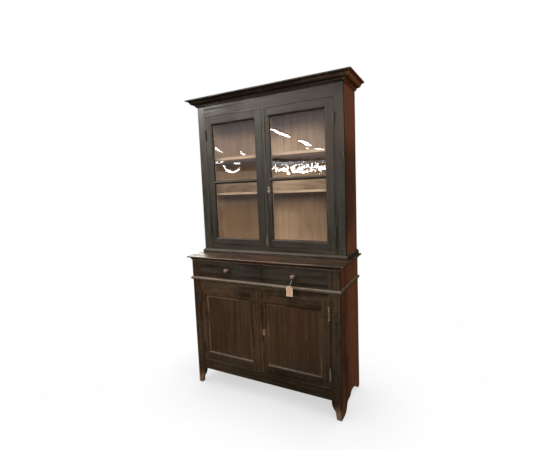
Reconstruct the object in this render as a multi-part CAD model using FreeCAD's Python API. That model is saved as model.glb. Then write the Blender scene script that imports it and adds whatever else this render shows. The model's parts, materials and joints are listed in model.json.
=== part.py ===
import FreeCAD, Part
import os
from math import asin, cos, sin

# Two-part bookcase cabinet, in millimetres: a glazed upper case, set back on a lower
# cupboard with two drawers.
# The origin is on the floor, at the middle of the overall width and depth.
# +X is to the right, +Y to the back, +Z up, and the doors face -Y.

Vector = FreeCAD.Vector

# Widths, depths and board thicknesses
lower_half = 590.0
upper_half = 587.0
opening_half = 520.0
case_depth = 451.0
upper_setback = 166.0
knob_reach = 36.0
side_board = 22.0
frame_board = 24.0
back_board = 12.0

# Heights above the floor
apron_foot = 126.0
lower_door_foot = 206.0
lower_door_head = 800.0
waist_foot = 844.0
drawer_foot = 867.0
drawer_head = 980.0
counter_foot = 997.0
counter_head = 1029.0
upper_door_foot = 1090.0
upper_door_head = 2093.0
cornice_foot = 2178.0
case_head = 2222.0

# Boards inside the cases, and the rail across the back, each as (foot, head)
top_board = (2200.0, 2220.0)
upper_shelf_levels = [(1758.0, 1779.0), (1488.0, 1505.0)]
back_rail = (1505.0, 1622.0)
upper_bottom_board = (1078.0, 1098.0)
lower_shelf_level = (500.0, 518.0)
lower_bottom_board = (196.0, 216.0)
upper_shelf_setback = 45.0
lower_shelf_setback = 60.0
shelf_play = 1.0
batten = 20.0
batten_setback = 15.0
back_planks = 4
plank_ease = 0.6
stop_clearance = 0.5

# Planes worked out from the sizes above
front = -(case_depth + knob_reach) / 2 + knob_reach
back = front + case_depth
upper_front = front + upper_setback
lower_inner = lower_half - side_board
upper_inner = upper_half - side_board
back_inner = back - back_board

# Mouldings, as (projection, height) steps; four numbers are an arc's middle and end
cornice_steps = [
    (0, 0), (7, 0), (10.5, 3.5, 7, 7), (7, 9), (14, 9), (17.5, 12.5, 14, 16), (14, 18), (26, 18),
    (37, 22, 44, 31), (50.5, 40.5, 62, 44), (62, 46), (68, 46), (68, 54), (0, 54),
]
base_steps = [(0, 0), (14, 0), (14, 16), (11, 24, 4, 29), (4, 31), (0, 31)]
waist_steps = [(0, 0), (1.5, 0), (13, 11.5, 1.5, 23), (0, 23)]

# Counter edge, as (distance in from the rim, height) steps
counter_overhang = 29.0
counter_rim = [(23, 0), (23, 8), (17.5, 15.5, 8, 20), (3, 20), (0, 26, 3, 32)]

# Feet: the inner edge of a front foot as (x, z), and the lower edges of the sides as (depth, z).
# The left side's front foot is the slimmer one.
front_foot_edge = [(522, 126), (527, 88, 546, 57), (550.5, 35, 554, 8), (556, 3, 561, 0), (587, 0)]
back_foot_edge = [(322, 66, 385, 28), (428, 0), (445, 8, 451, 30)]
right_foot_edge = [
    (72, 0), (104, 12, 124, 40), (142, 57, 172, 60), (207, 61), (227, 76, 255, 82), *back_foot_edge,
]
left_foot_edge = [(32, 0), (36, 17, 50, 30), (67, 42, 78, 66), (92, 82), (255, 82), *back_foot_edge]

# Doors
meeting = -16.0
gap = 1.6
upper_door_sag = 4.0
upper_door_thick = 29.0
lower_door_thick = 26.0
upper_sight_edges = [(-459.0, -80.0), (47.0, 456.0)]
lower_sight_edges = [(-461.0, -84.0), (66.0, 450.0)]
upper_panes = [(1152.0, 1575.0), (1600.0, 2030.0)]
lower_panel = (280.0, 714.0)
glass_depth = 19.0
glass_thick = 3.0
rebate = 8.0
panel_depth = 9.0
panel_thick = 8.0

# Door mouldings, as (distance out from the sight edge, depth behind the face) steps
ovolo = [(11, -1), (11, 1.2), (3.9, 4.1, 1, 11.2), (0, 11.2)]
ogee = [(20, -1), (20, 1), (14.6, 2.04, 10, 5), (5.4, 7.96, 0, 9)]

# Astragals cover the joint between the leaves, flush with the right leaf's edge
upper_astragal_size = (28.0, 9.0)
lower_astragal_size = (31.0, 8.0)

# Barrel hinges: foot and head of each one, from the floor
upper_hinge_spans = [(1189.0, 1261.0), (1922.0, 1994.0)]
lower_hinge_spans = [(262.0, 346.0), (668.0, 752.0)]
knuckle_radius = 6.0
knuckle_stand_off = 0.4
knuckle_split = 0.4
finial_radius = 4.2
pin_radius = 3.0
pin_clearance = 0.05
pin_short = 10.0
leaf_thick = 1.5
leaf_depth = 20.0
leaf_short = 2.0
leaf_sunk = 1.0
notch_clearance = 0.3

# Locks, let into the backs of the right leaves' meeting stiles
lock_width = 40.0
lock_half_height = 34.0
lock_thick = 12.0
bolt_length = 32.0
bolt_section = (7.0, 12.0)
bolt_rise = 12.0
bolt_slide_clearance = 0.1
strike_depth = 10.0
strike_clearance = 0.5
eye_radius = 3.8
eye_rise = 4.0
slot_half_width = 1.8
slot_drop = 11.0
keyhole_floor = 3.0
upper_key = (24.5, 1516.0)
lower_key = (31.5, 510.0)
upper_plate = (22.0, 48.0)
lower_plate = (29.0, 54.0)
plate_thick = 1.4

# Drawers
drawer_spans = [(-520.0, 3.0), (32.0, 520.0)]
drawer_gap = 1.0
runner_clearance = 0.1
drawer_front_thick = 20.0
drawer_wall = 12.0
drawer_wall_inset = 7.0
drawer_length = 370.0
drawer_wall_head = 966.0
drawer_bottom_rise = 9.0
drawer_bottom_thick = 7.0
track_width = 30.0
track_thick = 20.0
guide_height = 25.0
kicker_drop = 6.0
knob_height = 935.0
knob_radius = 18.5
knob_dome = 9.0
knob_neck = 8.0
neck_depth = 9.0
spigot_radius = 5.9
spigot_length = 16.0

# Swing tag: card edges, hole, string
tag_sides = (236.0, 281.0)
tag_ends = (806.8, 875.8)
tag_plane = 33.2
tag_thick = 0.8
tag_corner = 12.0
tag_hole = 3.2
tag_hole_drop = 8.0
string_radius = 1.1


def box(x0, x1, y0, y1, z0, z1):
    return Part.makeBox(x1 - x0, y1 - y0, z1 - z0, Vector(x0, y0, z0))


def mirrored(shape):
    return shape.mirror(Vector(0, 0, 0), Vector(1, 0, 0))


def both_sides(shape):
    return [mirrored(shape), shape]


def solids_of(shapes):
    return [solid for shape in shapes for solid in shape.Solids]


def save(name, *shapes):
    solids = solids_of(shapes)
    shape = solids[0] if len(solids) == 1 else Part.makeCompound(solids)
    shape.exportStep(f"parts/{name}.step")


def outline_face(steps, place):
    """Flat face from (u, v) line steps and (middle u, middle v, u, v) arc steps."""
    first = place(*steps[0])
    here = first
    edges = []
    for step in steps[1:]:
        there = place(*step[-2:])
        if len(step) == 2:
            edges.append(Part.makeLine(here, there))
        else:
            edges.append(Part.Arc(here, place(*step[:2]), there).toShape())
        here = there
    if here.distanceToPoint(first) > 1e-6:
        edges.append(Part.makeLine(here, first))
    return Part.Face(Part.Wire(edges))


def plan_prism(corners, z0, z1):
    """Prism over a straight-sided outline in plan."""
    return outline_face(corners, lambda x, y: Vector(x, y, z0)).extrude(Vector(0, 0, z1 - z0))


def moulding(steps, foot, half, face):
    """Front run and right and left returns, mitred at the front corners."""
    reach = max(max(step[0::2]) for step in steps)
    head = foot + max(max(step[1::2]) for step in steps) + 1
    corner = (half + reach, face - reach)
    front_run = outline_face(steps, lambda p, z: Vector(-corner[0], face - p, foot + z))
    front_run = front_run.extrude(Vector(2 * corner[0], 0, 0))
    front_run = front_run.common(
        plan_prism([(-half, face), (half, face), corner, (-corner[0], corner[1])], foot - 1, head)
    )
    side_run = outline_face(steps, lambda p, z: Vector(half + p, corner[1], foot + z))
    side_run = side_run.extrude(Vector(0, back - corner[1], 0))
    side_run = side_run.common(
        plan_prism([(half, face), corner, (corner[0], back), (half, back)], foot - 1, head)
    )
    return [front_run, side_run, mirrored(side_run)]


def plank_wall(half, planks, z0, z1):
    """Vertical boards side by side, with the front arrises eased."""
    width = 2 * half / planks
    boards = []
    for index in range(planks):
        x0 = -half + index * width
        x1 = x0 + width
        corners = [
            (x0, back), (x0, back_inner + plank_ease), (x0 + plank_ease, back_inner),
            (x1 - plank_ease, back_inner), (x1, back_inner + plank_ease), (x1, back),
        ]
        boards.append(plan_prism(corners, z0, z1))
    return boards


def opening_cutter(x0, x1, z0, z1, face, thick, steps):
    """The air in a moulded opening, mitred at its four corners."""
    margin = 60.0
    middle_x = (x0 + x1) / 2
    middle_z = (z0 + z1) / 2
    across = [(middle_x - x1, -1), *steps, (0, thick + 1), (middle_x - x1, thick + 1)]
    upright = outline_face(across, lambda u, v: Vector(x1 + u, face + v, z0 - margin))
    upright = upright.extrude(Vector(0, 0, z1 - z0 + 2 * margin))
    upright = upright.fuse(upright.mirror(Vector(middle_x, 0, 0), Vector(1, 0, 0)))
    along = [(middle_z - z1, -1), *steps, (0, thick + 1), (middle_z - z1, thick + 1)]
    level = outline_face(along, lambda u, v: Vector(x0 - margin, face + v, z1 + u))
    level = level.extrude(Vector(x1 - x0 + 2 * margin, 0, 0))
    level = level.fuse(level.mirror(Vector(0, 0, middle_z), Vector(0, 0, 1)))
    return upright.common(level)


def stile_region(outer, sight, ends, openings, stick, face, thick):
    """Prism holding one stile: its moulded edge is mitred where a rail meets it."""
    toward = 1 if sight > outer else -1
    arris = sight - toward * stick
    corners = [(outer, ends[0]), (arris, ends[0])]
    for z0, z1 in openings:
        corners += [(arris, z0 - stick), (sight, z0), (sight, z1), (arris, z1 + stick)]
    corners += [(arris, ends[1]), (outer, ends[1])]
    flat = outline_face(corners, lambda x, z: Vector(x, face - 1, z))
    return flat.extrude(Vector(0, thick + 2, 0))


def door_frame(span, ends, sights, openings, face, thick, steps):
    """Stiles and rails of one door leaf, before grooves and hinge notches are cut."""
    stick = steps[0][0]
    frame = box(*span, face, face + thick, *ends)
    for z0, z1 in openings:
        frame = frame.cut(opening_cutter(*sights, z0, z1, face, thick, steps))
    regions = [
        stile_region(span[0], sights[0], ends, openings, stick, face, thick),
        stile_region(span[1], sights[1], ends, openings, stick, face, thick),
    ]
    stiles = [frame.common(region) for region in regions]
    rails = frame.cut(regions[0]).cut(regions[1])
    return stiles, rails


def leaf_span(side):
    if side < 0:
        return (-opening_half + gap, meeting - gap / 2)
    return (meeting + gap / 2, opening_half - gap)


def hinge(side, face, foot, head):
    """Case half with its pin, door half, and the notches both need in the wood."""
    middle = (foot + head) / 2
    axis_x = opening_half - gap / 2
    axis_y = face - knuckle_radius - knuckle_stand_off
    split = knuckle_split / 2
    plate_split = split + 0.4
    pin_head = head - pin_short
    plate_ends = (foot + leaf_short, head - leaf_short)
    case_x = (opening_half + leaf_sunk - leaf_thick, opening_half + leaf_sunk)
    door_edge = opening_half - gap
    door_x = (door_edge - leaf_sunk, door_edge - leaf_sunk + leaf_thick)
    plate_y = (face + 1, face + leaf_depth)

    def barrel(z0, z1, tip):
        tube = Part.makeCylinder(knuckle_radius, z1 - z0, Vector(axis_x, axis_y, z0))
        return tube.fuse(Part.makeSphere(finial_radius, Vector(axis_x, axis_y, tip)))

    case_half = barrel(foot, middle - split, foot)
    case_half = case_half.fuse(box(*case_x, *plate_y, *plate_ends))
    case_half = case_half.fuse(box(*case_x, axis_y, face + 1, plate_ends[0], middle - plate_split))
    pin_foot = Vector(axis_x, axis_y, middle - split)
    case_half = case_half.fuse(Part.makeCylinder(pin_radius, pin_head - pin_foot.z, pin_foot))

    door_half = barrel(middle + split, head, head)
    door_half = door_half.fuse(box(*door_x, *plate_y, *plate_ends))
    door_half = door_half.fuse(box(*door_x, axis_y, face + 1, middle + plate_split, plate_ends[1]))
    bore_foot = Vector(axis_x, axis_y, middle)
    bore = Part.makeCylinder(pin_radius + pin_clearance, pin_head + 1 - middle, bore_foot)
    door_half = door_half.cut(bore)

    notch_z = (plate_ends[0] - notch_clearance, plate_ends[1] + notch_clearance)
    notch_y = (face - 1, face + leaf_depth + notch_clearance)
    notch = box(door_x[0], case_x[1], *notch_y, *notch_z)
    halves = [case_half, door_half, notch]
    return halves if side > 0 else [mirrored(shape) for shape in halves]


def hinges(side, face, spans):
    sets = [hinge(side, face, foot, head) for foot, head in spans]
    return [list(kind) for kind in zip(*sets)]


def cut_all(shape, cutters):
    for cutter in cutters:
        shape = shape.cut(cutter)
    return shape


def keyhole(key, face, depth):
    """Round eye with a slot below it, this deep from a plane."""
    x, z = key
    eye = Part.makeCylinder(eye_radius, depth, Vector(x, face, z + eye_rise), Vector(0, 1, 0))
    slot = box(x - slot_half_width, x + slot_half_width, face, face + depth, z - slot_drop, z + eye_rise)
    return eye.fuse(slot)


def escutcheon(key, size, face):
    """Lozenge-shaped key plate with bowed sides, on the face of a leaf."""
    x, z = key
    bow = 0.6
    corners = [(0, size[1] / 2), (size[0] / 2, 0), (0, -size[1] / 2), (-size[0] / 2, 0)]
    steps = corners[:1]
    for here, there in zip(corners, corners[1:] + corners[:1]):
        steps.append(((here[0] + there[0]) * bow, (here[1] + there[1]) * bow, *there))
    plate = outline_face(steps, lambda u, v: Vector(x + u, face - plate_thick, z + v))
    plate = plate.extrude(Vector(0, plate_thick, 0))
    return plate.cut(keyhole(key, face - plate_thick - 1, plate_thick + 2))


def lock(key, face, thick):
    """Lock case, its bolt, the case's mortise in the leaf and the bolt's in the other leaf."""
    edge = meeting + gap / 2
    x, z = key
    case_y = (face + thick - lock_thick, face + thick)
    case = box(edge, edge + lock_width, *case_y, z - lock_half_height, z + lock_half_height)
    bolt_y0 = case_y[0] + (lock_thick - bolt_section[0]) / 2
    bolt_z0 = z + bolt_rise

    def bolt_shape(x0, x1, room):
        return box(x0, x1, bolt_y0 - room, bolt_y0 + bolt_section[0] + room,
                   bolt_z0 - room, bolt_z0 + bolt_section[1] + room)

    bolt = bolt_shape(edge + 0.2, edge + bolt_length, 0)
    channel = bolt_shape(edge - 1, edge + bolt_length + 0.4, bolt_slide_clearance)
    strike = bolt_shape(meeting - gap / 2 - strike_depth, meeting, strike_clearance)
    hole = keyhole(key, face - 1, thick + 1 - keyhole_floor)
    return case.cut(channel).cut(hole), bolt, [case, hole], strike


def astragal(size, ends, face):
    """Half-round strip along the right leaf's meeting edge."""
    width, proud = size
    left = meeting + gap / 2
    steps = [(0, 0), (width / 2, proud, width, 0)]
    flat = outline_face(steps, lambda u, v: Vector(left + u, face - v, ends[0]))
    return flat.extrude(Vector(0, 0, ends[1] - ends[0]))


def glass_and_beads(sights, face):
    """Two panes, and the strips that hold each one in its rebate."""
    glass = []
    beads = []
    bead_y = (face + glass_depth + glass_thick, face + upper_door_thick)
    x0, x1 = sights
    for z0, z1 in upper_panes:
        fit = rebate - 1
        glass.append(box(x0 - fit, x1 + fit, face + glass_depth, bead_y[0], z0 - fit, z1 + fit))
        beads.append(box(x0 - rebate, x1 + rebate, *bead_y, z0 - rebate, z0))
        beads.append(box(x0 - rebate, x1 + rebate, *bead_y, z1, z1 + rebate))
        beads.append(box(x0 - rebate, x0, *bead_y, z0, z1))
        beads.append(box(x1, x1 + rebate, *bead_y, z0, z1))
    return glass, beads


def upper_doors():
    """Glazed leaves: returns the case halves of the hinges and the notches they need."""
    ends = (upper_door_foot + upper_door_sag, upper_door_head - gap)
    face = upper_front
    case_halves = []
    notches = []
    lock_case, bolt, mortises, strike = lock(upper_key, face, upper_door_thick)
    for side, name, sights in ((-1, "left", upper_sight_edges[0]), (1, "right", upper_sight_edges[1])):
        stiles, rails = door_frame(leaf_span(side), ends, sights, upper_panes, face, upper_door_thick, ovolo)
        rebates = [
            box(sights[0] - rebate, sights[1] + rebate, face + glass_depth, face + upper_door_thick + 1,
                z0 - rebate, z1 + rebate)
            for z0, z1 in upper_panes
        ]
        case_kind, door_kind, notch_kind = hinges(side, face, upper_hinge_spans)
        cuts = rebates + notch_kind + (mortises if side > 0 else [strike])
        glass, beads = glass_and_beads(sights, face)
        save(f"upper_{name}_door_stiles", *[cut_all(stile, cuts) for stile in stiles])
        save(f"upper_{name}_door_rails", cut_all(rails, rebates))
        save(f"upper_{name}_glass", *glass)
        save(f"upper_{name}_glazing_beads", *beads)
        save(f"upper_{name}_hinge_leaves", *door_kind)
        case_halves += case_kind
        notches += notch_kind
    save("upper_astragal", astragal(upper_astragal_size, ends, face))
    save("upper_escutcheon", escutcheon(upper_key, upper_plate, face))
    save("upper_lock_case", lock_case)
    save("upper_lock_bolt", bolt)
    return case_halves, notches


def lower_doors():
    """Panelled leaves: returns the case halves of the hinges and the notches they need."""
    ends = (lower_door_foot + gap, lower_door_head - gap)
    face = front
    case_halves = []
    notches = []
    lock_case, bolt, mortises, strike = lock(lower_key, face, lower_door_thick)
    for side, name, sights in ((-1, "left", lower_sight_edges[0]), (1, "right", lower_sight_edges[1])):
        stiles, rails = door_frame(leaf_span(side), ends, sights, [lower_panel], face, lower_door_thick, ogee)
        panel_y = (face + panel_depth, face + panel_depth + panel_thick)
        groove = box(sights[0] - rebate, sights[1] + rebate, *panel_y,
                     lower_panel[0] - rebate, lower_panel[1] + rebate)
        play = rebate - 1
        panel_x = (sights[0] - play, sights[1] + play)
        panel = box(*panel_x, *panel_y, lower_panel[0] - play, lower_panel[1] + play)
        case_kind, door_kind, notch_kind = hinges(side, face, lower_hinge_spans)
        cuts = [groove] + notch_kind + (mortises if side > 0 else [strike])
        save(f"lower_{name}_door_stiles", *[cut_all(stile, cuts) for stile in stiles])
        save(f"lower_{name}_door_rails", rails.cut(groove))
        save(f"lower_{name}_panel", panel)
        save(f"lower_{name}_hinge_leaves", *door_kind)
        case_halves += case_kind
        notches += notch_kind
    save("lower_astragal", astragal(lower_astragal_size, ends, face))
    save("lower_escutcheon", escutcheon(lower_key, lower_plate, face))
    save("lower_lock_case", lock_case)
    save("lower_lock_bolt", bolt)
    return case_halves, notches


def upper_case(notches):
    frame_back = upper_front + frame_board
    side = box(upper_inner, upper_half, frame_back, back, counter_head, case_head)
    save("upper_side_right", side)
    save("upper_side_left", mirrored(side))
    stile = box(opening_half, upper_half, upper_front, frame_back, counter_head, case_head)
    save("upper_face_stiles", *[cut_all(piece, notches) for piece in both_sides(stile)])
    save(
        "upper_face_rails",
        box(-opening_half, opening_half, upper_front, frame_back, upper_door_head, case_head),
        box(-opening_half, opening_half, upper_front, frame_back, counter_head, upper_door_foot),
    )
    save("upper_top_board", box(-upper_inner, upper_inner, frame_back, back_inner, *top_board))
    stop = upper_front + upper_door_thick + stop_clearance
    save("upper_bottom_board", box(-upper_inner, upper_inner, stop, back_inner, *upper_bottom_board))
    save(
        "upper_back_boards",
        *plank_wall(upper_inner, back_planks, counter_head, back_rail[0]),
        box(-upper_inner, upper_inner, back_inner, back, *back_rail),
        *plank_wall(upper_inner, back_planks, back_rail[1], case_head),
    )
    front_run, right_return, left_return = moulding(cornice_steps, cornice_foot, upper_half, upper_front)
    save("cornice_front", front_run)
    save("cornice_returns", left_return, right_return)
    save("upper_base_moulding", *moulding(base_steps, counter_head, upper_half, upper_front))


def shelf_set():
    """Two shelves in the upper case, one in the lower, and the battens under their ends."""
    reach = upper_inner - shelf_play
    shelf_y = (upper_front + upper_shelf_setback, back_inner)
    shelves = [box(-reach, reach, *shelf_y, *level) for level in upper_shelf_levels]
    save("upper_shelves", *shelves)
    reach = lower_inner - shelf_play
    lower_shelf = box(-reach, reach, front + lower_shelf_setback, back_inner, *lower_shelf_level)
    save("lower_shelf", lower_shelf)
    battens = []
    for shelf, inner in ((shelves[0], upper_inner), (shelves[1], upper_inner), (lower_shelf, lower_inner)):
        foot = shelf.BoundBox.ZMin
        start = shelf.BoundBox.YMin + batten_setback
        battens += both_sides(box(inner - batten, inner, start, back_inner, foot - batten, foot))
    save("shelf_battens", *battens)


def counter():
    """Counter top with its front and side rims moulded and mitred."""
    half = lower_half + counter_overhang
    rim_y = front - counter_overhang + 2
    depth = back - rim_y
    lengthways = outline_face(
        [(depth, 0), *counter_rim, (depth, counter_head - counter_foot)],
        lambda u, z: Vector(-half - 1, rim_y + u, counter_foot + z),
    ).extrude(Vector(2 * half + 2, 0, 0))
    crossways = outline_face(
        [(half, 0), *counter_rim, (half, counter_head - counter_foot)],
        lambda u, z: Vector(half - u, rim_y - 1, counter_foot + z),
    ).extrude(Vector(0, depth + 2, 0))
    crossways = crossways.fuse(mirrored(crossways)).removeSplitter()
    save("counter_top", lengthways.common(crossways))


def lower_side(foot_edge):
    steps = [(frame_board, 0), *foot_edge, (case_depth, counter_foot), (frame_board, counter_foot)]
    side = outline_face(steps, lambda y, z: Vector(lower_inner, front + y, z))
    return side.extrude(Vector(side_board, 0, 0))


def lower_case(notches):
    frame_back = front + frame_board
    steps = [*front_foot_edge, (lower_half, 3), (lower_half, counter_foot), (opening_half, counter_foot),
             (opening_half, apron_foot)]
    stile = outline_face(steps, lambda x, z: Vector(x, front, z)).extrude(Vector(0, frame_board, 0))
    save("lower_face_stiles", *[cut_all(piece, notches) for piece in both_sides(stile)])
    save("lower_side_right", lower_side(right_foot_edge))
    save("lower_side_left", mirrored(lower_side(left_foot_edge)))
    rail = (-opening_half, opening_half, front, frame_back)
    save("lower_apron", box(*rail, apron_foot, lower_door_foot))
    save("door_head_rail", box(*rail, lower_door_head, drawer_foot))
    save("drawer_top_rail", box(*rail, drawer_head, counter_foot))
    divider = (drawer_spans[0][1], drawer_spans[1][0])
    save("drawer_divider", box(*divider, front, frame_back, drawer_foot, drawer_head))
    save("waist_moulding", *moulding(waist_steps, waist_foot, lower_half, front))
    stop = front + lower_door_thick + stop_clearance
    save("lower_bottom_board", box(-lower_inner, lower_inner, stop, back_inner, *lower_bottom_board))
    save("lower_back_boards", *plank_wall(lower_inner, back_planks, apron_foot, counter_foot))


def drawer_tracks():
    """Runners below the drawer sides, guides beside them and kickers above them."""
    frame_back = front + frame_board
    tracks = []
    clear = drawer_gap + drawer_wall_inset
    bed = drawer_foot + drawer_gap - runner_clearance
    inner_left = drawer_spans[0][1] - clear
    inner_right = drawer_spans[1][0] + clear
    outer_left = drawer_spans[0][0] + clear
    outer_right = drawer_spans[1][1] - clear
    beds = [
        (-lower_inner, outer_left + track_width, -lower_inner, outer_left - 1),
        (inner_left - track_width, inner_right + track_width, inner_left + 1, inner_right - 1),
        (outer_right - track_width, lower_inner, outer_right + 1, lower_inner),
    ]
    for x0, x1, guide_x0, guide_x1 in beds:
        tracks.append(box(x0, x1, frame_back, back_inner, bed - track_thick, bed))
        tracks.append(box(guide_x0, guide_x1, frame_back, back_inner, bed, bed + guide_height))
        tracks.append(box(x0, x1, frame_back, back_inner, drawer_head - kicker_drop, counter_foot))
    save("drawer_runners", *tracks)


def drawer(name, span):
    """Front, box and turned knob of one drawer."""
    x0 = span[0] + drawer_gap
    x1 = span[1] - drawer_gap
    foot = drawer_foot + drawer_gap
    walls_front = front + drawer_front_thick
    walls_back = walls_front + drawer_length
    left = x0 + drawer_wall_inset
    right = x1 - drawer_wall_inset
    middle = (span[0] + span[1]) / 2
    hole = Part.makeCylinder(spigot_radius + 0.1, spigot_length + 1, Vector(middle, front - 1, knob_height),
                             Vector(0, 1, 0))
    panel = box(x0, x1, front, walls_front, foot, drawer_head - drawer_gap)
    save(f"{name}_drawer_front", panel.cut(hole))
    bottom_foot = foot + drawer_bottom_rise
    bottom_head = bottom_foot + drawer_bottom_thick
    save(
        f"{name}_drawer_box",
        box(left, left + drawer_wall, walls_front, walls_back, foot, drawer_wall_head),
        box(right - drawer_wall, right, walls_front, walls_back, foot, drawer_wall_head),
        box(left + drawer_wall, right - drawer_wall, walls_back - drawer_wall, walls_back,
            bottom_head, drawer_wall_head),
        box(left + drawer_wall, right - drawer_wall, walls_front, walls_back, bottom_foot, bottom_head),
    )
    save(f"{name}_drawer_knob", knob(middle))


def knob(x):
    """Turned knob: flared foot, waisted neck, domed head, and a spigot into the drawer front."""
    rim = knob_radius - 2
    rise = knob_dome
    ball = (rim ** 2 + rise ** 2) / (2 * rise)
    half_angle = asin(rim / ball) / 2
    crown = (ball * sin(half_angle), -knob_reach + ball - ball * cos(half_angle))
    steps = [
        (0, spigot_length - 0.5), (spigot_radius, spigot_length - 0.5), (spigot_radius, 0), (12, 0), (12, -2),
        (9, -4, knob_neck, -neck_depth), (9.4, -14, knob_radius - 1.5, -18),
        (knob_radius, -22, rim, rise - knob_reach), (*crown, 0, -knob_reach),
    ]
    half = outline_face(steps, lambda r, y: Vector(x + r, front + y, knob_height))
    return half.revolve(Vector(x, 0, knob_height), Vector(0, 1, 0), 360)


def swing_tag():
    """Blank card with clipped shoulders, on a string looped round the right knob's neck."""
    knob_x = sum(drawer_spans[1]) / 2
    x0, x1 = tag_sides
    z0, z1 = tag_ends
    middle = (x0 + x1) / 2
    card_back = front - tag_plane
    corners = [(x0, z0), (x1, z0), (x1, z1 - tag_corner), (x1 - tag_corner, z1), (x0 + tag_corner, z1),
               (x0, z1 - tag_corner)]
    card = outline_face(corners, lambda x, z: Vector(x, card_back, z)).extrude(Vector(0, -tag_thick, 0))
    hole_z = z1 - tag_hole_drop
    hole = Part.makeCylinder(tag_hole, 4, Vector(middle, card_back + 1, hole_z), Vector(0, -1, 0))
    save("tag_card", card.cut(hole))
    loop_radius = knob_neck + 2 * string_radius
    loop = Part.makeTorus(loop_radius, string_radius, Vector(knob_x, front - neck_depth, knob_height),
                          Vector(0, 1, 0))
    path = Part.BSplineCurve()
    start = Vector(knob_x - 4, front - neck_depth, knob_height - loop_radius + 0.8)
    path.interpolate([
        start,
        Vector(knob_x - 6.5, front - 12, knob_height - 21),
        Vector(knob_x - 11, front - 24, knob_height - 42),
        Vector(middle, card_back + 0.5, hole_z + 1.5),
        Vector(middle, card_back - tag_thick - 0.2, hole_z - 1),
    ])
    ring = Part.Wire(Part.makeCircle(string_radius, start, path.tangent(path.FirstParameter)[0]))
    strand = Part.Wire(path.toShape()).makePipeShell([ring], True, True)
    save("tag_string", loop.fuse(strand))


os.makedirs("parts", exist_ok=True)
upper_hinge_halves, upper_notches = upper_doors()
lower_hinge_halves, lower_notches = lower_doors()
save("case_hinge_leaves", *upper_hinge_halves, *lower_hinge_halves)
upper_case(upper_notches)
lower_case(lower_notches)
counter()
shelf_set()
drawer_tracks()
drawer("left", drawer_spans[0])
drawer("right", drawer_spans[1])
swing_tag()
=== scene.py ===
import json
from math import cos, radians, sin

import bmesh
import bpy
from mathutils import Matrix, Vector, noise

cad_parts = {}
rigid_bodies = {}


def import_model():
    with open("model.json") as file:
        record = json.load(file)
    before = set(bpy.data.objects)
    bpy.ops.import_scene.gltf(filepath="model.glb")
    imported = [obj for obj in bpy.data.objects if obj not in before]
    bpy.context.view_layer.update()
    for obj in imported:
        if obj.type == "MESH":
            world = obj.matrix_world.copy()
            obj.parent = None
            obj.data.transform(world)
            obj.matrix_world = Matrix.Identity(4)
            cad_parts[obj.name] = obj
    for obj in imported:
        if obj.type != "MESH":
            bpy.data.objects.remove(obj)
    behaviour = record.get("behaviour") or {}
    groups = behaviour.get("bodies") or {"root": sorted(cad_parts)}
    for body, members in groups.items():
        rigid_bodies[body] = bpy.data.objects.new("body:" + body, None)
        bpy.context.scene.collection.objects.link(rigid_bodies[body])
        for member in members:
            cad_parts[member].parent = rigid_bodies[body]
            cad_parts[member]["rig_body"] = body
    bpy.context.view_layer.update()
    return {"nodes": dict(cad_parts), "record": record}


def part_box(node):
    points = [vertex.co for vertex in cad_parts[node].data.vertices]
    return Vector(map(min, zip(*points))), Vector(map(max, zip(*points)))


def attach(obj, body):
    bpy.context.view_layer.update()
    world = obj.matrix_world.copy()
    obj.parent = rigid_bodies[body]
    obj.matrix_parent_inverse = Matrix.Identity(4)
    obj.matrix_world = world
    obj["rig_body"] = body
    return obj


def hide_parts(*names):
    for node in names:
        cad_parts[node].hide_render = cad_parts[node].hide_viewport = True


# The cabinet is finished here: old paint and stain on its boards, rubbed and rounded arrises,
# hand-made glass, worn iron and brass. Everything is in metres, in the CAD model's frame.

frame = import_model()
nodes = frame["nodes"]
bodies = {name: nodes[name]["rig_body"] for name in nodes}
slots = {entry["node"]: entry["material_slot"] for entry in frame["record"]["subparts"]}
scene = bpy.context.scene

glass_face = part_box("upper_right_glass")[0].y
eye = Vector((1.2189, -2.2219, 1.5051))


# ---------------------------------------------------------------- node trees

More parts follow.
